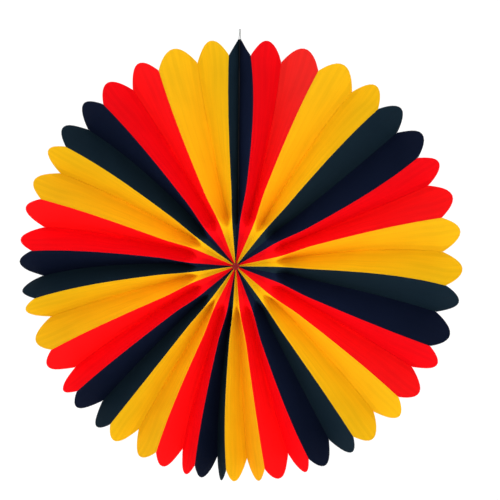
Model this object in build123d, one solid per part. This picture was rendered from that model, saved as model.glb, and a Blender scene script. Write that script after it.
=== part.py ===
"""Round paper fan, opened to a full circle and hung flat by a thread, in millimetres.

The fan lies in the XZ plane with +Z up and faces -Y. Its origin is the top of the
hanging thread. Angles are in degrees about the hub, clockwise from straight up as
seen from the front. A leaf is two sheets of one colour: they meet in a valley at
the back, and each meets the next leaf along a ridge at the front.
"""
from build123d import *
import os
from math import acos, atan2, cos, hypot, radians, sin, sqrt, tan

# Sheets
SHEET_LENGTH = 300.0
SHEET_WIDTH = 65.0
# What the width would taper to at the hub, along the sheets' back edges
WIDTH_AT_HUB = 32.5
PAPER = 0.2
LOBE_HEIGHT = 25.0
LOBE_TIP_RADIUS = 21.0
# Widest tip that a lobe's base can carry, as a share of half the base
TIP_LIMIT = 0.9
HUB_RADIUS = 4.0
NECK_END = 52.0
NECK_DEPTH_AT_HUB = 2.0
NECK_DEPTH_AT_END = 6.0
SHOULDER_LENGTH = 10.0
WALL_STEPS = 7

# Leaves, clockwise from the closing leaf: how wide each one has fallen open
COLOURS = ("black", "red", "yellow")
LEAF_SPREADS = (
    18.8, 19.2, 17.0, 17.5, 18.5, 17.2, 16.6, 16.7, 13.9, 12.6, 10.8, 8.9,
    11.5, 15.1, 13.2, 13.7, 15.2, 13.4, 14.7, 16.2, 15.7, 17.9, 19.7,
)
# How far each ridge bends clockwise on its way from the rim to the hub
RIDGE_BOWS = (
    4.0, -1.8, -2.0, 3.0, -1.8, -3.3, 0.8, -1.5, -0.7, 2.2, 0.5, 2.3,
    1.6, 1.8, -0.1, 1.1, 1.3, 2.8, 2.3, 1.4, 2.6, 2.0, -1.5, -1.3,
)
# How far the necks' ridges lean clockwise: those after black, red and yellow leaves
NECK_LEANS = (-2.3, 2.5, -1.3)
LEAN_FADE = 53.0

# Closing leaf: two stiff strips back to back, stuck together
STRIP_ANGLE = 0.5
CLOSING_LEFT_SPREAD = 2.5
CLOSING_RIGHT_SPREAD = 3.5
STRIP_CARD = 0.5
STRIP_INNER_GAP = 4.0
# How far the strips, and the paper glued on them, stop short of the closing sheets' tips
STRIP_TIP_INSET = 0.3
TAPE_THICKNESS = 0.1
TAPE_LENGTH = 45.0
TAPE_WIDTH = 15.0
TAPE_END_INSET = 30.0

# Hanging thread: a loop through a hole in the strips, with its points hole first
THREAD_DIAMETER = 0.8
THREAD_STAND = 13.6
HOLE_DIAMETER = 3.0
HOLE_DROP = 9.0
HOLE_INSET = 5.0
THREAD_ROUTE = (
    (-0.25, 0, -22.60), (-1.40, 0, -22.55), (-1.80, 0, -21.30), (-1.70, 0, -18.90),
    (-1.48, 0, -15.40), (-1.36, 0, -12.40), (-0.85, 0, -9.20), (-0.64, 0, -5.90),
    (-0.80, 0, -2.90), (-0.95, 0, -1.15), (-0.42, 0, -0.40), (0.42, 0, -0.40),
    (0.93, 0, -1.15), (0.76, 0, -2.95), (0.55, 0, -6.00), (0.68, 0, -9.30),
    (1.12, 0, -12.50), (1.20, 0, -15.50), (1.38, 0, -18.90), (1.42, 0, -21.30),
    (1.02, 0, -22.55), (-0.13, 0, -22.60),
)
BEND_SHARE = 0.45

# Hub tie
TIE_CLEARANCE = 0.05
TIE_COLLAR_WIDTH = 1.2
TIE_COLLAR_THICKNESS = 0.8

# Places that follow from the sizes
NOTCH_RADIUS = SHEET_LENGTH - LOBE_HEIGHT
SHOULDER_END = NECK_END + SHOULDER_LENGTH
HALF_WIDTH = SHEET_WIDTH / 2
STRIP_FACE = TAPE_THICKNESS / 2 + STRIP_CARD
STRIP_START = SHOULDER_END + STRIP_INNER_GAP
WALL_STEP = (NOTCH_RADIUS - SHOULDER_END) / WALL_STEPS
STATIONS = [HUB_RADIUS, NECK_END] + [SHOULDER_END + WALL_STEP * k for k in range(WALL_STEPS + 1)]

FIRST_RIDGE = STRIP_ANGLE + CLOSING_RIGHT_SPREAD
OPEN_TURN = 360 - CLOSING_LEFT_SPREAD - CLOSING_RIGHT_SPREAD
SPREADS = [spread * OPEN_TURN / sum(LEAF_SPREADS) for spread in LEAF_SPREADS]
RIDGES = [FIRST_RIDGE + sum(SPREADS[:k]) for k in range(len(SPREADS) + 1)]


def direction(angle):
    """Unit vector from the hub at an angle clockwise from up."""
    return Vector(sin(radians(angle)), 0, cos(radians(angle)))


HUB = Pos(direction(STRIP_ANGLE) * -(SHEET_LENGTH + THREAD_STAND) - Vector(0, HOLE_INSET, 0))


def chord(radius, spread):
    """Straight distance across a spread of so many degrees at a radius."""
    return 2 * radius * sin(radians(spread) / 2)


def ridge_angle(ridge, radius):
    """A ridge's angle at the rim, its bow fading with the cube of the radius, and its neck's lean."""
    fading = 1 - (min(radius, NOTCH_RADIUS) / NOTCH_RADIUS) ** 3
    neck = 1 - min(max(radius - NECK_END, 0) / LEAN_FADE, 1)
    return RIDGES[ridge] + RIDGE_BOWS[ridge] * fading + NECK_LEANS[ridge % len(COLOURS)] * neck


def valley_angle(leaf, radius):
    """The valley of a leaf lies midway between its two ridges."""
    return (ridge_angle(leaf, radius) + ridge_angle(leaf + 1, radius)) / 2


def pleat_depth(leaf, radius):
    """Depth left to a sheet of full width once its wall has spread across half its leaf."""
    across = chord(min(radius, NOTCH_RADIUS), SPREADS[leaf] / 2)
    return sqrt(SHEET_WIDTH**2 - across**2)


def ridge_y(ridge, radius):
    """A ridge stands in front of the middle plane by half the depth of the leaves beside it."""
    beside = [pleat_depth(leaf, radius) for leaf in (ridge - 1, ridge) if 0 <= leaf < len(SPREADS)]
    return -sum(beside) / len(beside) / 2


def neck_depth(radius):
    """Depth of the shallow pleats of the narrow necks, from the hub to where they end."""
    share = (radius - HUB_RADIUS) / (NECK_END - HUB_RADIUS)
    return NECK_DEPTH_AT_HUB + share * (NECK_DEPTH_AT_END - NECK_DEPTH_AT_HUB)


def ridge_point(ridge, radius):
    """Point of a ridge at a radius."""
    return direction(ridge_angle(ridge, radius)) * radius + Vector(0, ridge_y(ridge, radius), 0)


def back_taper(radius):
    """How far the sheets' back edges have drawn in from their full width at a radius."""
    return (SHEET_WIDTH - WIDTH_AT_HUB) * (1 - radius / NOTCH_RADIUS)


def valley_point(leaf, radius):
    """Point of a valley: close behind the ridges in the neck, and at the sheets' back edges outside it."""
    if radius > NECK_END:
        y = pleat_depth(leaf, radius) / 2 - back_taper(radius)
    else:
        y = (ridge_y(leaf, radius) + ridge_y(leaf + 1, radius)) / 2 + neck_depth(radius)
    return direction(valley_angle(leaf, radius)) * radius + Vector(0, y, 0)


def strip_point(side, ridge, radius):
    """Where a closing sheet ends, square across from its ridge: on its strip, or in its neck."""
    out = direction(STRIP_ANGLE)
    foot = out * ridge_point(ridge, radius).dot(out)
    if radius > NECK_END:
        return foot + direction(STRIP_ANGLE + 90) * (side * STRIP_FACE)
    return foot + Vector(0, ridge_y(ridge, radius) + neck_depth(radius), 0)


def paper_behind(front, back):
    """The paper's thickness measured straight back, which is more on a steep wall."""
    across = Vector(back.X - front.X, 0, back.Z - front.Z).length
    return Vector(0, PAPER * (back - front).length / across, 0)


def polygon(*corners):
    """Flat face between its corners."""
    return Face(Wire.make_polygon(corners))


def wall(fronts, backs):
    """Paper between its front edge and its back edge, as flat triangles from the hub outwards."""
    behind = [paper_behind(front, back) for front, back in zip(fronts, backs)]
    far_fronts = [front + step for front, step in zip(fronts, behind)]
    far_backs = [back + step for back, step in zip(backs, behind)]
    faces = [polygon(fronts[k], backs[k], far_backs[k], far_fronts[k]) for k in (0, -1)]
    for k in range(len(fronts) - 1):
        for front, back in ((fronts, backs), (far_fronts, far_backs)):
            faces.append(polygon(front[k], back[k], front[k + 1]))
            faces.append(polygon(back[k], back[k + 1], front[k + 1]))
        for near, far in ((fronts, far_fronts), (backs, far_backs)):
            faces.append(polygon(near[k], near[k + 1], far[k + 1], far[k]))
    return Solid(Shell(faces))


def lobe_outline(half, tall):
    """Rounded end of a flat sheet over its base: straight flanks from its notches to a round tip."""
    radius = min(LOBE_TIP_RADIUS, TIP_LIMIT * half)
    centre = tall - radius
    lean = acos(radius / hypot(half, centre)) - atan2(centre, half)
    touch = (radius * cos(lean), centre + radius * sin(lean))
    far_touch = (-touch[0], touch[1])
    tip = ThreePointArc(touch, (0, tall), far_touch)
    return make_face([tip, Polyline(far_touch, (-half, 0), (half, 0), touch)])


def half_lobe_outline(half, tall):
    """The half of a lobe beside its middle line."""
    return lobe_outline(half, tall) & Rectangle(half, tall, align=(Align.MIN, Align.MIN))


def lobe(outline, middle, corner, outward):
    """The paper of a lobe in the plane of its wall, from the middle of its base to a corner."""
    base = corner - middle
    tall = SHEET_LENGTH - middle.dot(outward)
    in_wall = Plane(origin=middle, x_dir=base, z_dir=base.cross(outward))
    behind = paper_behind(middle, corner)
    return extrude(in_wall * outline(base.length, tall), behind.length, dir=behind)


def leaf_sheet(leaf, ridge):
    """One sheet of a leaf, between one of the leaf's ridges and its valley."""
    fronts = [ridge_point(ridge, radius) for radius in STATIONS]
    backs = [valley_point(leaf, radius) for radius in STATIONS]
    outward = direction((RIDGES[ridge] + valley_angle(leaf, NOTCH_RADIUS)) / 2)
    middle = (fronts[-1] + backs[-1]) / 2
    return wall(fronts, backs) + lobe(lobe_outline, middle, fronts[-1], outward)


def strip_profile():
    """Side view of a stiff strip: straight, with the back half of the lobe at its outer end."""
    straight = Rectangle(HALF_WIDTH, NOTCH_RADIUS - STRIP_START, align=(Align.MIN, Align.MIN))
    end = half_lobe_outline(HALF_WIDTH, LOBE_HEIGHT - STRIP_TIP_INSET)
    hole = Pos(HOLE_INSET, SHEET_LENGTH - HOLE_DROP) * Circle(HOLE_DIAMETER / 2)
    return Pos(0, STRIP_START) * straight + Pos(0, NOTCH_RADIUS) * end - hole


def beside_strips(profile, inner, outer):
    """A flat piece along the strips, from one distance to the right of their plane to another."""
    right = direction(STRIP_ANGLE + 90)
    side_view = Plane(origin=right * inner, x_dir=(0, 1, 0), z_dir=right)
    return extrude(side_view * profile, outer - inner)


def closing_sheet(side, ridge):
    """Closing sheet: a wall from its ridge to its strip, folded back and glued on the strip."""
    fronts = [ridge_point(ridge, radius) for radius in STATIONS]
    backs = [strip_point(side, ridge, radius) for radius in STATIONS]
    tip = lobe(half_lobe_outline, backs[-1], fronts[-1], direction(STRIP_ANGLE))
    flap = beside_strips(strip_profile(), side * STRIP_FACE, side * (STRIP_FACE + PAPER))
    return wall(fronts, backs) + tip + flap


def stiff_strip(side):
    """One of the two card strips that stiffen the ends of the stack of sheets."""
    return beside_strips(strip_profile(), side * TAPE_THICKNESS / 2, side * STRIP_FACE)


def tape(start):
    """Adhesive strip that holds the two stiff strips together."""
    outline = Rectangle(TAPE_WIDTH, TAPE_LENGTH, align=(Align.CENTER, Align.MIN))
    return beside_strips(Pos(HALF_WIDTH / 2, start) * outline, -TAPE_THICKNESS / 2, TAPE_THICKNESS / 2)


def neck_back(radius):
    """How far back the paper of the sheets' necks reaches at a radius."""
    last = len(SPREADS)
    rows = [(ridge_point(leaf, radius), valley_point(leaf, radius)) for leaf in range(last)]
    rows.append((ridge_point(0, radius), strip_point(1, 0, radius)))
    rows.append((ridge_point(last, radius), strip_point(-1, last, radius)))
    return max((back + paper_behind(front, back)).Y for front, back in rows)


def hub_tie():
    """Wound knot that holds the inner ends of the sheets, with a collar before and behind them."""
    waist = HUB_RADIUS - TIE_CLEARANCE
    collar = HUB_RADIUS + TIE_COLLAR_WIDTH
    front = -HALF_WIDTH - TIE_CLEARANCE
    back = max(neck_back(HUB_RADIUS), neck_back(collar)) + TIE_CLEARANCE
    middle = Pos(0, (front + back) / 2) * Rectangle(2 * waist, back - front)
    collars = [
        Pos(0, edge) * Rectangle(2 * collar, TIE_COLLAR_THICKNESS, align=(Align.CENTER, side))
        for edge, side in ((front, Align.MAX), (back, Align.MIN))
    ]
    half = (middle + collars) & Rectangle(collar, 2 * SHEET_WIDTH, align=(Align.MIN, Align.CENTER))
    return revolve(half, Axis.Y)


def hanging_thread():
    """The thread's loop: straight runs joined by arcs, from inside the hole round to it again."""
    points = [Vector(*point) for point in THREAD_ROUTE]
    runs = [after - before for before, after in zip(points, points[1:])]
    bends = []
    for run, next_run in zip(runs, runs[1:]):
        turn = radians(run.get_angle(next_run))
        bends.append(BEND_SHARE * min(run.length, next_run.length) / tan(turn / 2))
    print("thread bend radii", [round(bend, 1) for bend in bends])
    path = FilletPolyline(*points, radius=bends)
    return sweep(Plane(origin=path @ 0, z_dir=path % 0) * Circle(THREAD_DIAMETER / 2), path)


os.makedirs("parts", exist_ok=True)
parts = {}
for leaf in range(len(SPREADS)):
    colour = COLOURS[(leaf + 1) % len(COLOURS)]
    number = leaf + 2
    parts[f"leaf_{number:02d}_{colour}_left"] = leaf_sheet(leaf, leaf)
    parts[f"leaf_{number:02d}_{colour}_right"] = leaf_sheet(leaf, leaf + 1)
parts["leaf_01_black_left"] = closing_sheet(-1, len(SPREADS))
parts["leaf_01_black_right"] = closing_sheet(1, 0)
parts["stiff_strip_left"] = stiff_strip(-1)
parts["stiff_strip_right"] = stiff_strip(1)
parts["adhesive_tape_outer"] = tape(NOTCH_RADIUS - TAPE_END_INSET - TAPE_LENGTH)
parts["adhesive_tape_inner"] = tape(STRIP_START + TAPE_END_INSET)
parts["hub_tie"] = hub_tie()

for name, shape in parts.items():
    export_step(HUB * shape, f"parts/{name}.step")
export_step(hanging_thread(), "parts/hanging_thread.step")
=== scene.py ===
"""Looks of the round paper fan, in metres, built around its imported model.

The fan lies in the XZ plane with +Z up and faces -Y, and the top of its hanging thread
is the origin. Angles are in degrees about the hub, clockwise from straight up as seen
from the front. A sheet is a surface of two parameters: the share of its width, counted
from its ridge at the front, and the radius from the hub.
"""
import math

import bpy
import numpy as np
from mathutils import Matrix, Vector


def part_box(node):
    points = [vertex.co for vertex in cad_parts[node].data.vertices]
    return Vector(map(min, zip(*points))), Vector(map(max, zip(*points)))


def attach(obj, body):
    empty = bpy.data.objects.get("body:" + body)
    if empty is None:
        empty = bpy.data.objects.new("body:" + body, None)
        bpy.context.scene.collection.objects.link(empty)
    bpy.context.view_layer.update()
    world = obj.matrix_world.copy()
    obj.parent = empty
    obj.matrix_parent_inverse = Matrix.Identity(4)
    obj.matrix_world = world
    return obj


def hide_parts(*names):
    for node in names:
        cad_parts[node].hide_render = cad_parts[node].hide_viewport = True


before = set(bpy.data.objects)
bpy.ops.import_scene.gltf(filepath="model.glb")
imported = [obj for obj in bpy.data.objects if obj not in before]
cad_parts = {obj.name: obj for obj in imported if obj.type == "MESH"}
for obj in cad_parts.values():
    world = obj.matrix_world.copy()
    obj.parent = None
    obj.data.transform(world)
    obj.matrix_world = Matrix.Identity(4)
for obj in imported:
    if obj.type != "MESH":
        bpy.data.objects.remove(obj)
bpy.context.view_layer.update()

# Camera, from the hub
CAMERA_DISTANCE = 1.3859
CAMERA_RIGHT_TURN = 4.922
CAMERA_RISE = 5.525
AIM_FROM_HUB = (0.0163, 0.0032, 0.0186)
CAMERA_LENS = 73.8
CAMERA_SENSOR = 36.0

# Hanging thread: its route, hole first
THREAD_ROUTE = (
    (-0.00025, 0, -0.02260), (-0.00140, 0, -0.02255), (-0.00180, 0, -0.02130),
    (-0.00170, 0, -0.01890), (-0.00148, 0, -0.01540), (-0.00136, 0, -0.01240),
    (-0.00085, 0, -0.00920), (-0.00064, 0, -0.00590), (-0.00080, 0, -0.00290),
    (-0.00095, 0, -0.00115), (-0.00042, 0, -0.00040), (0.00042, 0, -0.00040),
    (0.00093, 0, -0.00115), (0.00076, 0, -0.00295), (0.00055, 0, -0.00600),
    (0.00068, 0, -0.00930), (0.00112, 0, -0.01250), (0.00120, 0, -0.01550),
    (0.00138, 0, -0.01890), (0.00142, 0, -0.02130), (0.00102, 0, -0.02255),
    (-0.00013, 0, -0.02260),
)
THREAD_DIAMETER = 0.0008
# Threads' plies, the length of one turn of them, and how far a thread reaches between them, as a
# share of its radius
PLIES = 3
THREAD_LAY = 0.0026
PLY_GROOVE = 0.8

# Hub tie: its thread, how far its flat coils dish, its core and its knot
TIE_THREAD = 0.0009
COIL_DISH = 0.0003
CORE_RADIUS = 0.0033
CORE_TURNS = 4.5
KNOT_THREAD = 0.00081
KNOT_SIZE = 0.00056
KNOT_DEPTH = 0.9
KNOT_STAND = 0.00063

# Sheets
SHEET_LENGTH = 0.300
SHEET_WIDTH = 0.065
WIDTH_AT_HUB = 0.0325
PAPER = 0.0002
LOBE_HEIGHT = 0.025
HUB_RADIUS = 0.004
NECK_END = 0.052
NECK_DEPTH_AT_HUB = 0.002
NECK_DEPTH_AT_END = 0.006
NOTCH_RADIUS = SHEET_LENGTH - LOBE_HEIGHT
GLUE_LINE = 0.0015
# Half of a sheet's thickness, less a hair, as a share of it
HALF_SHEET = 0.48
# A pocket's mouth: how much further out it lies at the ridge, and how long it takes to open
MOUTH_RISE = 0.012
MOUTH_LENGTH = 0.014

# Leaves, clockwise from the closing leaf: how wide each one has fallen open
COLOURS = ("black", "red", "yellow")
LEAF_SPREADS = (
    18.8, 19.2, 17.0, 17.5, 18.5, 17.2, 16.6, 16.7, 13.9, 12.6, 10.8, 8.9,
    11.5, 15.1, 13.2, 13.7, 15.2, 13.4, 14.7, 16.2, 15.7, 17.9, 19.7,
)
# How far each ridge bends clockwise on its way from the rim to the hub
RIDGE_BOWS = (
    4.0, -1.8, -2.0, 3.0, -1.8, -3.3, 0.8, -1.5, -0.7, 2.2, 0.5, 2.3,
    1.6, 1.8, -0.1, 1.1, 1.3, 2.8, 2.3, 1.4, 2.6, 2.0, -1.5, -1.3,
)
# How far each valley stands clockwise from the middle of its leaf at the rim
VALLEY_SHIFTS = (
    -1.5, 1.0, -0.1, -0.2, 0.9, 0.2, 0.5, 0.8, 0.8, 0.1, 0.5, -0.7,
    -0.5, 0.2, -0.5, -1.3, 0.7, -1.5, -1.4, -0.5, -1.5, -1.1, 0.1,
)
# How far the necks' ridges lean clockwise: those after black, red and yellow leaves
NECK_LEANS = (-2.3, 2.5, -1.3)
LEAN_FADE = 0.053

# Closing leaf: its strips' angle, and how far its two ridges stand from them
STRIP_ANGLE = 0.5
CLOSING_LEFT_SPREAD = 2.5
CLOSING_RIGHT_SPREAD = 3.5
# Strips' faces from the middle line, and the flaps' inner ends and how far they stop from the tip
STRIP_FACE = 0.00055
FLAP_START = 0.066
TIP_INSET = 0.0003
# Folds onto the strips: their place before they open, in thicknesses of paper from the middle
# line, where past the flaps' inner ends they begin to open, and over what length
SHUT_FOLD = 0.4
FOLD_DELAY = 0.001
FOLD_OPENING = 0.0015
# How much faster than evenly a closing wall draws near its fold once its pocket is open
WALL_BULGE = 0.9
# Thread's hole through the strips and their flaps
HOLE_DIAMETER = 0.003
HOLE_DROP = 0.009
HOLE_INSET = 0.005

# Unevenness of the paper: long waves along its walls, creases by the mouths, curls of the lobes
WAVE_LENGTHS = (0.093, 0.061, 0.038)
WAVE_HEIGHT = 0.00028
WAVE_SLANT = 0.7
WAVES_START = 0.075
WAVES_GROWTH = 0.05
CREASE_LENGTH = 0.019
CREASE_HEIGHT = 0.00045
CREASES_ACROSS = 2.5
CREASES_PAST_MOUTH = 0.011
CREASES_REACH = 0.007
CURL_HEIGHT = 0.0016

# Papers, by colour and side of the leaf (1 left, -1 right): the colour, whose small differences
# between left and right sheets are painted light and sheen on walls that face different ways; the
# neck's factor of it, painted shade on the neck where it is below 1; and the share of the light
# that comes through
GLOW = 0.42
DYES_AND_PAINTED_LIGHT = {
    ("black", 1): ((0.0055, 0.0130, 0.0195), 1.0, 0.0),
    ("black", -1): ((0.0036, 0.0066, 0.0210), 0.8, 0.0),
    ("red", 1): ((0.96, 0.0030, 0.010), 0.72, GLOW),
    ("red", -1): ((0.98, 0.006, 0.009), 0.8, GLOW),
    ("yellow", 1): ((0.97, 0.57, 0.007), 0.72, GLOW),
    ("yellow", -1): ((0.97, 0.60, 0.007), 0.8, GLOW),
}
# Painted light on the sheets' outer ends, as factors of their colours: painted shade that darkens
# the ends, and on the red right sheets a painted sheen that adds green and blue
WIDE_END_PAINTED_LIGHT = {
    ("black", 1): (0.75, 0.86, 0.95), ("black", -1): (0.55, 0.62, 0.65),
    ("red", 1): (0.83, 1.0, 0.8), ("red", -1): (0.84, 1.3, 1.1),
    ("yellow", 1): (0.82, 0.87, 1.2), ("yellow", -1): (0.82, 0.83, 1.0),
}
# Red and yellow leaves under this spread get less painted shade towards their ends: painted light
# for the light their narrow pockets lack
NARROW_LEAF = 14.8
NARROW_END_PAINTED_LIGHT = {
    ("red", 1): (0.94, 1.0, 0.8), ("red", -1): (0.94, 1.3, 1.1),
    ("yellow", 1): (0.87, 0.86, 1.2), ("yellow", -1): (0.94, 0.92, 1.0),
}
# The red leaf beside the closing leaf has a painted sheen that pales the end of its right sheet
PAINTED_SHEEN_LEAF = 0
PAINTED_SHEEN_END = (0.78, 4.0, 2.2)
# Where the neck's painted shade ends, the full colour starts and ends, and the painted light of
# the end starts, as shares of the sheet's length
TONE_PLACES = (0.13, 0.2, 0.35, 0.85)

OPEN_TURN = 360 - CLOSING_LEFT_SPREAD - CLOSING_RIGHT_SPREAD
SPREADS = np.array(LEAF_SPREADS) * OPEN_TURN / sum(LEAF_SPREADS)
RIDGES = STRIP_ANGLE + CLOSING_RIGHT_SPREAD + np.concatenate([[0], np.cumsum(SPREADS)])

MIDDLE_PLANE = -0.005
tie_low, tie_high = (np.array(corner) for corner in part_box("hub_tie"))
HUB = np.array([(tie_low[0] + tie_high[0]) / 2, MIDDLE_PLANE, (tie_low[2] + tie_high[2]) / 2])

# Rows of a sheet: radii on its wall, closer together by the pocket's mouth, then shares of the
# way from the last one to its outline
MOUTH_ROWS_START = 0.046
MOUTH_ROWS_END = 0.078
LAST_WALL_ROW = 0.200
WALL_ROWS = np.concatenate([
    np.linspace(HUB_RADIUS, MOUTH_ROWS_START, 8, endpoint=False),
    np.linspace(MOUTH_ROWS_START, MOUTH_ROWS_END, 22, endpoint=False),
    np.linspace(MOUTH_ROWS_END, LAST_WALL_ROW, 15),
])
END_ROWS = np.linspace(0, 1, 22)[1:]
# Columns of a sheet, as shares of its width, closer together in its two glue lines
GLUE_SHARE = GLUE_LINE / SHEET_WIDTH
EVEN_TURN = np.linspace(0, np.pi, 17)
INNER_COLUMNS = GLUE_SHARE + (1 - 2 * GLUE_SHARE) * (1 - np.cos(EVEN_TURN)) / 2
SHEET_COLUMNS = np.concatenate([[0, GLUE_SHARE / 2], INNER_COLUMNS, [1 - GLUE_SHARE / 2, 1]])
HALF_COLUMNS = np.concatenate([[0, GLUE_SHARE], np.linspace(2.5 * GLUE_SHARE, 1, 12)])
# A flap's points along each edge and along its front, its lines from the hole, and the shares
# of the way along them at which its rows lie
FLAP_STEPS = 30
FLAP_FRONT_STEPS = 90
FLAP_LINES = 48
FLAP_ROWS = np.array([0, 0.05, 0.25, 0.6, 1])


def place_camera():
    """Camera on a long lens, a little to the right of the hub and above it."""
    turn = math.radians(CAMERA_RIGHT_TURN)
    rise = math.radians(CAMERA_RISE)
    level = math.cos(rise)
    back = Vector((level * math.sin(turn), -level * math.cos(turn), math.sin(rise)))
    camera = bpy.data.objects.new("camera", bpy.data.cameras.new("camera"))
    bpy.context.scene.collection.objects.link(camera)
    camera.data.lens = CAMERA_LENS
    camera.data.sensor_width = CAMERA_SENSOR
    camera.data.clip_start = 0.05
    camera.data.clip_end = 50
    camera.location = Vector(HUB) + CAMERA_DISTANCE * back
    aim = Vector(HUB) + Vector(AIM_FROM_HUB)
    camera.rotation_mode = "QUATERNION"
    camera.rotation_quaternion = (aim - camera.location).to_track_quat("-Z", "Y")
    bpy.context.scene.camera = camera


def smooth_step(value):
    """0 up to 0, 1 from 1 on, and 3v^2 - 2v^3 between."""
    share = np.clip(value, 0, 1)
    return share * share * (3 - 2 * share)


def unit(vectors):
    """Vectors divided by their lengths."""
    return vectors / np.linalg.norm(vectors, axis=-1, keepdims=True)


def mesh_piece(name, points, faces, finish, replaced=(), uvs=None):
    """A mesh object from its points and faces, which rides on the fan and has its finish."""
    mesh = bpy.data.meshes.new(name)
    mesh.from_pydata(points.tolist(), [], [list(face) for face in faces])
    if uvs is not None:
        corners = np.empty(len(mesh.loops), dtype=np.int32)
        mesh.loops.foreach_get("vertex_index", corners)
        layer = mesh.uv_layers.new(name="sheet")
        layer.data.foreach_set("uv", uvs[corners].astype(np.float32).ravel())
    mesh.polygons.foreach_set("use_smooth", [True] * len(mesh.polygons))
    mesh.set_sharp_from_angle(angle=math.radians(40))
    mesh.materials.append(finish)
    piece = bpy.data.objects.new(name, mesh)
    bpy.context.scene.collection.objects.link(piece)
    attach(piece, "root")
    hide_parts(*replaced)
    return piece


# Threads


def spun_thread(path, diameter, sides):
    """Surface of a twisted thread: its radius is full over each ply and less between plies.

    With n plies and g for the groove's share, its radius at a turn a about a path that runs s
    long is d/2 (g + (1 - g) |cos(n (a - 2 pi s / lay) / 2)|).
    """
    along = unit(np.gradient(path, axis=0))
    aside = unit(np.cross(along, np.array([0.0, 1.0, 0.0])))
    above = np.cross(aside, along)
    steps = np.linalg.norm(np.diff(path, axis=0), axis=1)
    run = np.concatenate([[0], np.cumsum(steps)])[:, None]
    turn = np.linspace(0, 2 * np.pi, sides, endpoint=False)[None, :]
    ply = np.abs(np.cos(PLIES * (turn - 2 * np.pi * run / THREAD_LAY) / 2))
    reach = (diameter / 2 * (PLY_GROOVE + (1 - PLY_GROOVE) * ply))[..., None]
    flat = np.cos(turn)[..., None] * aside[:, None, :]
    tall = np.sin(turn)[..., None] * above[:, None, :]
    points = (path[:, None, :] + reach * (flat + tall)).reshape(-1, 3)
    rings = np.arange(len(path) * sides).reshape(len(path), sides)
    after = np.roll(rings, -1, axis=1)
    faces = np.stack([rings[:-1], rings[1:], after[1:], after[:-1]], axis=-1)
    faces = faces.reshape(-1, 4).tolist()
    faces.append(rings[0].tolist())
    faces.append(rings[-1][::-1].tolist())
    return points, faces


def joined(shapes):
    """Several (points, faces) as one."""
    points = np.concatenate([shape[0] for shape in shapes])
    faces = []
    start = 0
    for shape_points, shape_faces in shapes:
        faces.extend([[start + corner for corner in face] for face in shape_faces])
        start += len(shape_points)
    return points, faces


def thread_line():
    """Points along the smooth curve through the middle of the thread's route."""
    curve = bpy.data.curves.new("thread_route", "CURVE")
    curve.dimensions = "3D"
    curve.resolution_u = 16
    spline = curve.splines.new("NURBS")
    spline.points.add(len(THREAD_ROUTE) - 1)
    spline.points.foreach_set("co", [value for point in THREAD_ROUTE for value in (*point, 1)])
    spline.order_u = 3
    spline.use_endpoint_u = True
    holder = bpy.data.objects.new("thread_route", curve)
    bpy.context.scene.collection.objects.link(holder)
    drawn = holder.evaluated_get(bpy.context.evaluated_depsgraph_get())
    line = bpy.data.meshes.new_from_object(drawn)
    points = np.empty(len(line.vertices) * 3)
    line.vertices.foreach_get("co", points)
    bpy.data.objects.remove(holder)
    bpy.data.curves.remove(curve)
    bpy.data.meshes.remove(line)
    return points.reshape(-1, 3)


def hang_thread(finish):
    """The loop of grey thread that the fan hangs by."""
    path = thread_line()
    points, faces = spun_thread(path, THREAD_DIAMETER, sides=18)
    loop = mesh_piece("grey_thread_loop", points, faces, finish, ["hanging_thread"])


def wind_hub_tie(finish):
    """Crimson thread wound through the hub: a flat coil before and behind the sheets, and a knot.

    A coil's reach grows evenly with its turn and its dish with the square of its reach. The core
    is a helix. The knot is a trefoil: sin t + 2 sin 2t across, cos t - 2 cos 2t up, sin 3t deep.
    """
    width = (tie_high[0] - tie_low[0]) / 2
    turns = (width - TIE_THREAD) / TIE_THREAD
    shapes = []
    for edge, inward in ((tie_low[1], 1), (tie_high[1], -1)):
        turn = np.linspace(0, 2 * np.pi * turns, 260)
        reach = TIE_THREAD / 2 + (width - TIE_THREAD) * turn / turn[-1]
        rise = edge + inward * (TIE_THREAD / 2 + COIL_DISH * (reach / width) ** 2)
        across, up = HUB[0] + reach * np.sin(turn), HUB[2] + reach * np.cos(turn)
        coil = np.stack([across, rise, up], axis=-1)
        shapes.append(spun_thread(coil, TIE_THREAD, sides=12))
    turn = np.linspace(0, 2 * np.pi * CORE_TURNS, 160)
    rise = np.linspace(tie_low[1] + TIE_THREAD, tie_high[1] - TIE_THREAD, len(turn))
    across, up = HUB[0] + CORE_RADIUS * np.sin(turn), HUB[2] + CORE_RADIUS * np.cos(turn)
    core = np.stack([across, rise, up], axis=-1)
    shapes.append(spun_thread(core, TIE_THREAD, sides=10))
    turn = np.linspace(0, 2 * np.pi, 120)
    knot = np.stack([
        HUB[0] + KNOT_SIZE * (np.sin(turn) + 2 * np.sin(2 * turn)),
        tie_low[1] - KNOT_STAND - KNOT_DEPTH * KNOT_SIZE * np.sin(3 * turn),
        HUB[2] + KNOT_SIZE * (np.cos(turn) - 2 * np.cos(2 * turn)),
    ], axis=-1)
    shapes.append(spun_thread(knot, KNOT_THREAD, sides=12))
    points, faces = joined(shapes)
    mesh_piece("hub_winding", points, faces, finish, ["hub_tie"])


# Sheets of paper


def leaf_colour(leaf):
    """Colour of an open leaf: red, yellow and black in turn."""
    return COLOURS[(leaf + 1) % 3]


def direction(angle):
    """Unit vectors from the hub at angles clockwise from up: sine along X, cosine along Z."""
    turn = np.radians(angle)
    return np.stack([np.sin(turn), np.zeros_like(turn), np.cos(turn)], axis=-1)


def ridge_angle(ridge, radius):
    """A ridge's angle: its place at the rim, its bow and its neck's lean.

    The bow fades with the cube of the radius, and the lean with a smooth step.
    """
    fading = 1 - (np.minimum(radius, NOTCH_RADIUS) / NOTCH_RADIUS) ** 3
    neck = 1 - smooth_step((radius - NECK_END) / LEAN_FADE)
    return RIDGES[ridge] + RIDGE_BOWS[ridge] * fading + NECK_LEANS[ridge % 3] * neck


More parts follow.
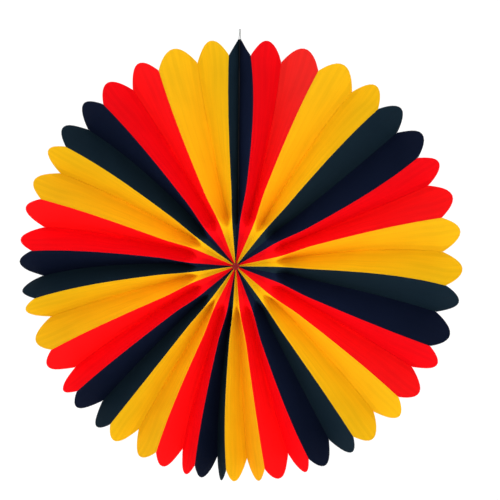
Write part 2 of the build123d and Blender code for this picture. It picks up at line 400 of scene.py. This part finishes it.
def valley_angle(leaf, radius):
    """Midway between the leaf's two ridges, and a shift that grows with the radius squared."""
    shift = VALLEY_SHIFTS[leaf] * (np.minimum(radius, NOTCH_RADIUS) / NOTCH_RADIUS) ** 2
    return (ridge_angle(leaf, radius) + ridge_angle(leaf + 1, radius)) / 2 + shift


def pleat_depth(leaf, radius):
    """Depth left to a sheet's width once it spreads across half its leaf.

    It is the square root of width^2 - chord^2.
    """
    half_leaf = math.radians(SPREADS[leaf] / 4)
    across = 2 * np.minimum(radius, NOTCH_RADIUS) * math.sin(half_leaf)
    return np.sqrt(SHEET_WIDTH**2 - across**2)


def ridge_y(ridge, radius):
    """Half the mean depth of the leaves beside a ridge, in front of the middle plane."""
    beside = [leaf for leaf in (ridge - 1, ridge) if 0 <= leaf < len(SPREADS)]
    return -sum(pleat_depth(leaf, radius) for leaf in beside) / len(beside) / 2


def valley_y(leaf, radius):
    """Half a leaf's depth behind the middle plane, less what its back edges have drawn in."""
    taper = (SHEET_WIDTH - WIDTH_AT_HUB) * (1 - np.minimum(radius, NOTCH_RADIUS) / NOTCH_RADIUS)
    return pleat_depth(leaf, radius) / 2 - taper


def ridge_end(ridge):
    """Where a ridge ends, at its notch."""
    place = direction(ridge_angle(ridge, NOTCH_RADIUS)) * NOTCH_RADIUS
    return place + [0, float(ridge_y(ridge, NOTCH_RADIUS)), 0]


def valley_end(leaf):
    """Where a leaf's valley ends, at its notch."""
    place = direction(valley_angle(leaf, NOTCH_RADIUS)) * NOTCH_RADIUS
    return place + [0, float(pleat_depth(leaf, NOTCH_RADIUS)) / 2, 0]


def neck_depth(radius):
    """Depth of the necks' shallow pleats, growing evenly from the hub to where they end."""
    share = np.clip((radius - HUB_RADIUS) / (NECK_END - HUB_RADIUS), 0, 1)
    return NECK_DEPTH_AT_HUB + share * (NECK_DEPTH_AT_END - NECK_DEPTH_AT_HUB)


def mouth_radius(share):
    """Where the pocket's arched mouth lies.

    That is at the neck's end in the valley, and further out by the square of the way from there
    to the ridge.
    """
    return NECK_END + MOUTH_RISE * (1 - share) ** 2


def pocket(share, radius):
    """How far a pleat has opened from its neck to its full depth: a smooth step from its mouth."""
    return smooth_step((radius - mouth_radius(share)) / MOUTH_LENGTH)


def half_paper_across(radius, turn, deep):
    """Half a sheet's thickness, less a hair, as measured across its leaf.

    It is that half times the cosine of the wall's slant.
    """
    across = radius * np.radians(np.abs(turn))
    return (HALF_SHEET * PAPER * deep / np.hypot(deep, across))[..., None]


def lobe_height(across, half, tall):
    """Height of a lobe over its base: a parabola that falls to nothing at the notches."""
    return tall * (1 - (across / half) ** 2)


def rows_to(outline_radius):
    """Radii of a sheet's rows, one column for each point of its outline."""
    start = WALL_ROWS[-1]
    fixed = np.repeat(WALL_ROWS[:, None], len(outline_radius), axis=1)
    ends = start + END_ROWS[:, None] * (outline_radius[None, :] - start)
    return np.concatenate([fixed, ends])


def rumple(points, share, radius, draw):
    """Moves a sheet along its normals: long waves, small creases by the mouth, a curled lobe.

    Waves and creases are sines of radius and share, and fade to nothing along the side edges.
    """
    normals = unit(np.cross(np.gradient(points, axis=1), np.gradient(points, axis=0)))
    inside = 4 * share * (1 - share)
    out = smooth_step((radius - WAVES_START) / WAVES_GROWTH)
    waves = np.zeros_like(radius)
    for length in WAVE_LENGTHS:
        slant = draw.uniform(-WAVE_SLANT, WAVE_SLANT)
        start = draw.uniform(0, 2 * np.pi)
        waves += WAVE_HEIGHT * np.sin(2 * np.pi * (radius / length + slant * share) + start)
    past_mouth = radius - mouth_radius(share)
    near = np.exp(-(((past_mouth - CREASES_PAST_MOUTH) / CREASES_REACH) ** 2))
    start = draw.uniform(0, 2 * np.pi)
    run = CREASES_ACROSS * share + radius / CREASE_LENGTH
    creases = CREASE_HEIGHT * near * np.sin(2 * np.pi * run + start)
    beyond = np.clip((radius - NOTCH_RADIUS) / LOBE_HEIGHT, 0, 1)
    curl = draw.uniform(-CURL_HEIGHT, CURL_HEIGHT) * beyond**2
    return points + normals * ((waves * out + creases) * inside + curl)[..., None]


def paper_shell(middle):
    """A sheet around its middle surface: half its thickness to each side, and its edges closed.

    The grid's columns run clockwise and its rows outwards, so column x row points forward.
    """
    rows, columns = middle.shape[:2]
    forward = unit(np.cross(np.gradient(middle, axis=1), np.gradient(middle, axis=0)))
    front = middle + forward * PAPER / 2
    back = middle - forward * PAPER / 2
    number = np.arange(rows * columns).reshape(rows, columns)
    corners = [number[:-1, :-1], number[:-1, 1:], number[1:, 1:], number[1:, :-1]]
    near = np.stack(corners, axis=-1).reshape(-1, 4)
    far = near[:, ::-1] + rows * columns
    rim = np.concatenate([number[0], number[1:, -1], number[-1, -2::-1], number[-2:0:-1, 0]])
    after = np.roll(rim, -1)
    edge = np.stack([after, rim, rim + rows * columns, after + rows * columns], axis=-1)
    points = np.concatenate([front.reshape(-1, 3), back.reshape(-1, 3)])
    return points, np.concatenate([near, far, edge]).tolist()


def sheet_uvs(share, radius):
    """Width and length along the sheet, in metres, for its front and then its back."""
    flat = np.stack([share * SHEET_WIDTH, radius], axis=-1).reshape(-1, 2)
    return np.concatenate([flat, flat])


def flap_grid():
    """Depths behind the strips' front edge and radii of a flap.

    Its columns are straight lines from its hole to its outline.
    """
    width = SHEET_WIDTH / 2
    depth = np.linspace(0, width, FLAP_STEPS)
    crown = NOTCH_RADIUS + lobe_height(depth, width, LOBE_HEIGHT - TIP_INSET)
    back_radius = np.linspace(FLAP_START, NOTCH_RADIUS, FLAP_STEPS)
    front_radius = np.linspace(crown[0], FLAP_START, FLAP_FRONT_STEPS)
    foot = np.stack([depth, np.full(FLAP_STEPS, FLAP_START)], axis=-1)
    back = np.stack([np.full(FLAP_STEPS, width), back_radius], axis=-1)
    lobe = np.stack([depth, crown], axis=-1)[::-1]
    front = np.stack([np.zeros(FLAP_FRONT_STEPS), front_radius], axis=-1)
    outline = np.concatenate([foot, back[1:], lobe[1:], front[1:]])
    centre = np.array([HOLE_INSET, SHEET_LENGTH - HOLE_DROP])
    turn = np.unwrap(np.arctan2(outline[:, 1] - centre[1], outline[:, 0] - centre[0]))
    corners = turn[(FLAP_STEPS - 1) * np.arange(4)]
    even = turn[0] + np.linspace(0, 2 * np.pi, FLAP_LINES, endpoint=False)
    lines = np.unique(np.concatenate([even, corners]))
    edge = np.stack([np.interp(lines, turn, column) for column in outline.T], axis=-1)
    hole = centre + HOLE_DIAMETER / 2 * unit(edge - centre)
    grid = hole + FLAP_ROWS[:, None, None] * (edge - hole)
    return grid[..., 0], grid[..., 1]


def punched_shell(middle, forward):
    """A flat sheet with a hole, half its thickness to each side of its middle.

    The grid's rows run from the hole outwards, and its columns counterclockwise from its front.
    """
    count = middle.shape[0] * middle.shape[1]
    number = np.arange(count).reshape(middle.shape[:2])
    after = np.roll(number, -1, axis=1)
    near = np.stack([number[:-1], number[1:], after[1:], after[:-1]], axis=-1).reshape(-1, 4)
    far = near[:, ::-1] + count
    hole = np.stack([number[0], after[0], after[0] + count, number[0] + count], axis=-1)
    edge = np.stack([after[-1], number[-1], number[-1] + count, after[-1] + count], axis=-1)
    front = middle + forward * PAPER / 2
    back = middle - forward * PAPER / 2
    points = np.concatenate([front.reshape(-1, 3), back.reshape(-1, 3)])
    return points, np.concatenate([near, far, hole, edge]).tolist()


def leaf_sheet(leaf, side, finish, draw):
    """One sheet of an open leaf: its left one (side 1), on the ridge before it, or its right one.

    Each row of its wall runs straight from ridge to valley as seen from the front. Its depth
    grows evenly along a row where the leaf is a neck or fully open, and between those by how far
    the pocket has opened. The lobe goes on in the plane of the row at the notches.
    """
    ridge = leaf if side == 1 else leaf + 1
    base_ridge = ridge_end(ridge)
    base_valley = valley_end(leaf)
    outward = direction((RIDGES[ridge] + valley_angle(leaf, NOTCH_RADIUS)) / 2)
    base = unit(base_valley - base_ridge)
    up = unit(outward - outward.dot(base) * base)
    half = np.linalg.norm(base_valley - base_ridge) / 2
    tall = SHEET_LENGTH - (base_ridge + base_valley).dot(outward) / 2
    radius = rows_to(NOTCH_RADIUS + lobe_height((2 * SHEET_COLUMNS - 1) * half, half, tall))
    share = np.broadcast_to(SHEET_COLUMNS, radius.shape)
    inner = np.minimum(radius, NOTCH_RADIUS)
    spread = np.clip((share - GLUE_SHARE) / (1 - 2 * GLUE_SHARE), 0, 1)
    ridge_turn = ridge_angle(ridge, inner)
    valley_turn = valley_angle(leaf, inner)
    front = ridge_y(ridge, inner)
    neck = (ridge_y(leaf, inner) + ridge_y(leaf + 1, inner)) / 2 + neck_depth(inner)
    full = valley_y(leaf, inner)
    depth = neck + pocket(1, inner) * (full - neck) - front
    aside = side * half_paper_across(inner, valley_turn - ridge_turn, depth)
    at_ridge = direction(ridge_turn) * inner[..., None] + direction(ridge_turn + 90) * aside
    at_valley = direction(valley_turn) * inner[..., None] - direction(valley_turn + 90) * aside
    points = at_ridge + spread[..., None] * (at_valley - at_ridge)
    points[..., 1] = front + share * (neck - front + pocket(share, inner) * (full - neck))
    points += up * np.maximum(radius - NOTCH_RADIUS, 0)[..., None]
    if side == -1:
        points, share, radius = points[:, ::-1], share[:, ::-1], radius[:, ::-1]
    points = rumple(points, share, radius, draw)
    shell, faces = paper_shell(points + HUB)
    colour = leaf_colour(leaf)
    name = f"{leaf + 2:02d}_{colour}_{'left' if side == 1 else 'right'}"
    mesh_piece(
        f"paper_{name}", shell, faces, finish, [f"leaf_{name}"],
        sheet_uvs(share, radius),
    )


def closing_sheet(side, finish, draw):
    """A closing sheet, right (side 1) or left of the middle line: its wall and its flap.

    The wall runs from its ridge to its strip, and once open it bulges: what is left of the way
    falls as its power 1 + bulge. The flap lies flat along the strip's face, round its hole.
    """
    ridge = 0 if side == 1 else len(SPREADS)
    out = direction(STRIP_ANGLE)
    right = direction(STRIP_ANGLE + 90)
    base_ridge = ridge_end(ridge)
    base_fold = out * base_ridge.dot(out) + right * side * STRIP_FACE
    base = unit(base_ridge - base_fold)
    half = np.linalg.norm(base_ridge - base_fold)
    up = unit(out - out.dot(base) * base)
    tall = SHEET_LENGTH - base_fold.dot(out)
    radius = rows_to(NOTCH_RADIUS + lobe_height((1 - HALF_COLUMNS) * half, half, tall))
    share = np.broadcast_to(HALF_COLUMNS, radius.shape)
    inner = np.minimum(radius, NOTCH_RADIUS)
    open_wall = pocket(share, inner)
    even = np.clip((share - GLUE_SHARE) / (1 - GLUE_SHARE), 0, 1)
    spread = 1 - (1 - even) ** (1 + WALL_BULGE * open_wall)
    ridge_turn = ridge_angle(ridge, inner)
    front = ridge_y(ridge, inner)
    depth = neck_depth(inner) - pocket(1, inner) * front
    aside = side * half_paper_across(inner, ridge_turn - STRIP_ANGLE, depth)
    at_ridge = direction(ridge_turn) * inner[..., None] - direction(ridge_turn + 90) * aside
    opened = smooth_step((inner - FLAP_START - FOLD_DELAY) / FOLD_OPENING)
    shut = SHUT_FOLD * PAPER
    aside = side * (shut + (STRIP_FACE + PAPER / 2 - shut) * opened)
    at_fold = out * (at_ridge @ out)[..., None] + right * aside[..., None]
    points = at_ridge + spread[..., None] * (at_fold - at_ridge)
    neck = neck_depth(inner)
    points[..., 1] = front + share * (neck + open_wall * (-front - neck))
    points += up * np.maximum(radius - NOTCH_RADIUS, 0)[..., None]
    if side == 1:
        points, share, radius = points[:, ::-1], share[:, ::-1], radius[:, ::-1]
    points = rumple(points, share, radius, draw)
    wall = paper_shell(points + HUB)
    wall_uvs = sheet_uvs(share / 2, radius)

    depth, radius = flap_grid()
    if side == -1:
        depth, radius = depth[:, ::-1], radius[:, ::-1]
    share = depth / SHEET_WIDTH + 0.5
    points = out * radius[..., None] + right * side * (STRIP_FACE + PAPER / 2)
    points[..., 1] += depth
    flap = punched_shell(points + HUB, right * side)
    shell, faces = joined([wall, flap])
    uvs = np.concatenate([wall_uvs, sheet_uvs(share, radius)])
    name = f"01_black_{'left' if side == -1 else 'right'}"
    mesh_piece(f"paper_{name}", shell, faces, finish, [f"leaf_{name}"], uvs)


# Finishes


class Finish:
    """A material being built: its nodes, and links between named sockets."""

    def __init__(self, name):
        self.material = bpy.data.materials.new(name)
        self.material.use_nodes = True
        self.tree = self.material.node_tree
        self.tree.nodes.clear()
        self.output = self.tree.nodes.new("ShaderNodeOutputMaterial")

    def node(self, kind, **values):
        """A node with its inputs set by name, with spaces written as underscores."""
        made = self.tree.nodes.new(f"ShaderNode{kind}")
        for key, value in values.items():
            socket = made.inputs.get(key.replace("_", " "))
            if socket is not None:
                socket.default_value = value
            else:
                setattr(made, key, value)
        return made

    def link(self, start, end):
        """Joins an output to an input."""
        self.tree.links.new(start, end)

    def ramp(self, factor, stops):
        """Colours by a factor, from (place, colour) pairs."""
        made = self.node("ValToRGB")
        elements = made.color_ramp.elements
        while len(elements) < len(stops):
            elements.new(0.5)
        for element, (place, colour) in zip(elements, stops):
            element.position = place
            element.color = (*colour, 1)
        self.link(factor, made.inputs["Fac"])
        return made.outputs["Color"]


def shade(colour, factor):
    """A colour made lighter or darker by a factor."""
    return tuple(min(1.0, value * factor) for value in colour)


def dyed_paper_with_painted_light(name, colour, neck, glow, end):
    """Matt dyed paper with painted light: tones along the sheet, which are painted shade on the
    neck and painted shade and sheen at the outer end, streaks, fibres, and a little light through
    it.

    The neck's painted tone and the outer end's are factors of the colour.
    """
    finish = Finish(name)
    sheet = finish.node("UVMap", uv_map="sheet")
    place_on_sheet = finish.node("SeparateXYZ")
    finish.link(sheet.outputs["UV"], place_on_sheet.inputs["Vector"])
    reach = finish.node("MapRange", From_Max=SHEET_LENGTH)
    finish.link(place_on_sheet.outputs["Y"], reach.inputs["Value"])
    # Painted light along the sheet: shade on the neck, and shade and sheen at the outer end
    end_colour = tuple(value * factor for value, factor in zip(colour, end))
    tones = (shade(colour, neck), colour, colour, end_colour)
    tone = finish.ramp(reach.outputs["Result"], list(zip(TONE_PLACES, tones)))
    stretch = finish.node("Mapping", Scale=(140, 9, 1))
    finish.link(sheet.outputs["UV"], stretch.inputs["Vector"])
    noise = finish.node("TexNoise", Scale=1.0, Detail=3.0, Roughness=0.5)
    finish.link(stretch.outputs["Vector"], noise.inputs["Vector"])
    streaks = finish.node("MapRange", From_Min=0.3, From_Max=0.7, To_Min=0.945, To_Max=1.055)
    finish.link(noise.outputs["Fac"], streaks.inputs["Value"])
    streaked = finish.node("VectorMath", operation="SCALE")
    finish.link(tone, streaked.inputs["Vector"])
    finish.link(streaks.outputs["Result"], streaked.inputs["Scale"])
    tint = streaked.outputs["Vector"]
    place = finish.node("TexCoord")
    fibres = finish.node("TexNoise", Scale=1400.0, Detail=3.0, Roughness=0.7)
    finish.link(place.outputs["Object"], fibres.inputs["Vector"])
    bump = finish.node("Bump", Strength=0.25, Distance=0.0001)
    finish.link(fibres.outputs["Fac"], bump.inputs["Height"])
    paper = finish.node("BsdfPrincipled", Roughness=0.85, Specular_IOR_Level=0.04)
    finish.link(tint, paper.inputs["Base Color"])
    finish.link(bump.outputs["Normal"], paper.inputs["Normal"])
    surface = paper.outputs["BSDF"]
    if glow:
        through = finish.node("BsdfTranslucent")
        finish.link(tint, through.inputs["Color"])
        mix = finish.node("MixShader", Fac=glow)
        finish.link(surface, mix.inputs[1])
        finish.link(through.outputs["BSDF"], mix.inputs[2])
        surface = mix.outputs["Shader"]
    finish.link(surface, finish.output.inputs["Surface"])
    return finish.material


def paper_set(ends, kind=""):
    """Papers by colour and side, with the painted light on their outer ends."""
    papers = {}
    for (colour, side), end in ends.items():
        name = f"{colour}_paper_{'left' if side == 1 else 'right'}{kind}"
        papers[colour, side] = dyed_paper_with_painted_light(name, *DYES_AND_PAINTED_LIGHT[colour, side], end)
    return papers


def thread_finish(name, colour):
    """Cotton thread: fibres in two close tones."""
    finish = Finish(name)
    place = finish.node("TexCoord")
    fibres = finish.node("TexNoise", Scale=5000.0, Detail=3.0)
    finish.link(place.outputs["Object"], fibres.inputs["Vector"])
    stops = [(0.3, shade(colour, 0.8)), (0.7, shade(colour, 1.2))]
    tint = finish.ramp(fibres.outputs["Fac"], stops)
    thread = finish.node("BsdfPrincipled", Roughness=0.9, Specular_IOR_Level=0.1)
    finish.link(tint, thread.inputs["Base Color"])
    finish.link(thread.outputs["BSDF"], finish.output.inputs["Surface"])
    return finish.material


def card_finish():
    """Board darkened to near-black, as painted shade for the dark gap where the strips show
    between the
    closing sheets: thin layers across its cut edges.
    """
    finish = Finish("grey_card")
    place = finish.node("TexCoord")
    stretch = finish.node("Mapping", Scale=(9000, 200, 200))
    finish.link(place.outputs["Object"], stretch.inputs["Vector"])
    layers = finish.node("TexNoise", Scale=1.0, Detail=2.0)
    finish.link(stretch.outputs["Vector"], layers.inputs["Vector"])
    # Near-black tones: the board's own dark grey, darkened further as painted shade
    stops = [(0.35, (0.006, 0.006, 0.007)), (0.65, (0.014, 0.014, 0.016))]
    tint = finish.ramp(layers.outputs["Fac"], stops)
    card = finish.node("BsdfPrincipled", Roughness=0.85, Specular_IOR_Level=0.25)
    finish.link(tint, card.inputs["Base Color"])
    finish.link(card.outputs["BSDF"], finish.output.inputs["Surface"])
    return finish.material


def tape_finish():
    """Milky double-sided tape, a little uneven."""
    finish = Finish("clear_tape")
    place = finish.node("TexCoord")
    cloud = finish.node("TexNoise", Scale=300.0, Detail=2.0)
    finish.link(place.outputs["Object"], cloud.inputs["Vector"])
    tint = finish.ramp(cloud.outputs["Fac"], [(0.3, (0.76, 0.75, 0.7)), (0.7, (0.86, 0.85, 0.8))])
    film = finish.node("BsdfPrincipled", Roughness=0.45, Alpha=0.75)
    finish.link(tint, film.inputs["Base Color"])
    finish.link(film.outputs["BSDF"], finish.output.inputs["Surface"])
    return finish.material


def studio_finish(name, colour):
    """Plain matt surface for the studio sweep."""
    finish = Finish(name)
    paint = finish.node("BsdfDiffuse", Color=(*colour, 1), Roughness=0.5)
    finish.link(paint.outputs["BSDF"], finish.output.inputs["Surface"])
    return finish.material


# Studio


def studio_sweep():
    """White floor that curves up into a backdrop: its profile carried sideways."""
    floor, wall, bend = -1.3, 3.4, 1.2
    near, top, half_width = -6.0, 4.0, 6.0
    turn = np.linspace(0, np.pi / 2, 16)
    curve_y = wall - bend + bend * np.sin(turn)
    curve_z = floor + bend - bend * np.cos(turn)
    profile = np.concatenate([
        [[near, floor]],
        np.stack([curve_y, curve_z], axis=-1),
        [[wall, top]],
    ])
    sides = (-half_width, half_width)
    points = np.array([[side, y, z] for y, z in profile for side in sides])
    steps = np.arange(len(profile) - 1)[:, None] * 2
    faces = (steps + np.array([[0, 1, 3, 2]])).tolist()
    mesh = bpy.data.meshes.new("studio_sweep")
    mesh.from_pydata(points.tolist(), [], faces)
    mesh.polygons.foreach_set("use_smooth", [True] * len(mesh.polygons))
    mesh.materials.append(studio_finish("studio_white", (0.9, 0.9, 0.9)))
    sweep = bpy.data.objects.new("studio_sweep", mesh)
    bpy.context.scene.collection.objects.link(sweep)


def soft_light(name, place, aim, size, power):
    """A square area light that points at its aim and isn't seen itself."""
    light = bpy.data.objects.new(name, bpy.data.lights.new(name, "AREA"))
    bpy.context.scene.collection.objects.link(light)
    light.data.size = size
    light.data.energy = power
    light.location = place
    light.rotation_mode = "QUATERNION"
    light.rotation_quaternion = (Vector(aim) - Vector(place)).to_track_quat("-Z", "Y")
    light.visible_camera = False


def light_studio():
    """Even white surroundings, two large soft lights before the fan and a low one under it."""
    world = bpy.data.worlds.new("studio")
    world.use_nodes = True
    background = world.node_tree.nodes["Background"]
    background.inputs["Color"].default_value = (1, 1, 1, 1)
    background.inputs["Strength"].default_value = 1.16
    bpy.context.scene.world = world
    bpy.context.scene.view_settings.view_transform = "Standard"
    soft_light("key_light", (-0.3, -2.8, 0.1), HUB, 1.6, 28)
    soft_light("fill_light", (0.9, -2.6, -0.5), HUB, 1.6, 14)
    soft_light("low_light", (0.0, -0.75, -0.88), (0.0, 0.0, -0.52), 0.5, 2.5)


place_camera()
hang_thread(thread_finish("grey_thread", (0.08, 0.088, 0.085)))

# Papers with painted light: shade and sheen on the ends of the sheets, and less of that shade on
# narrow leaves
wide_papers = paper_set(WIDE_END_PAINTED_LIGHT)
narrow_papers = {**wide_papers, **paper_set(NARROW_END_PAINTED_LIGHT, "_narrow")}
# Red paper with a painted sheen at the end, for the right sheet of the leaf beside the closing
# leaf
red_paper_sheen = dyed_paper_with_painted_light("red_paper_painted_sheen", *DYES_AND_PAINTED_LIGHT["red", -1], PAINTED_SHEEN_END)
rumples = np.random.default_rng(24)
for leaf in range(len(SPREADS)):
    papers = narrow_papers if SPREADS[leaf] < NARROW_LEAF else wide_papers
    for side in (1, -1):
        pale = leaf == PAINTED_SHEEN_LEAF and side == -1
        leaf_sheet(leaf, side, red_paper_sheen if pale else papers[leaf_colour(leaf), side], rumples)
for side in (-1, 1):
    closing_sheet(side, wide_papers["black", -side], rumples)
wind_hub_tie(thread_finish("crimson_thread", (0.2, 0.012, 0.012)))

card = card_finish()
tape = tape_finish()
for name, finish in (
    ("stiff_strip_left", card), ("stiff_strip_right", card),
    ("adhesive_tape_outer", tape), ("adhesive_tape_inner", tape),
):
    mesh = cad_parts[name].data
    mesh.materials.clear()
    mesh.materials.append(finish)

studio_sweep()
light_studio()
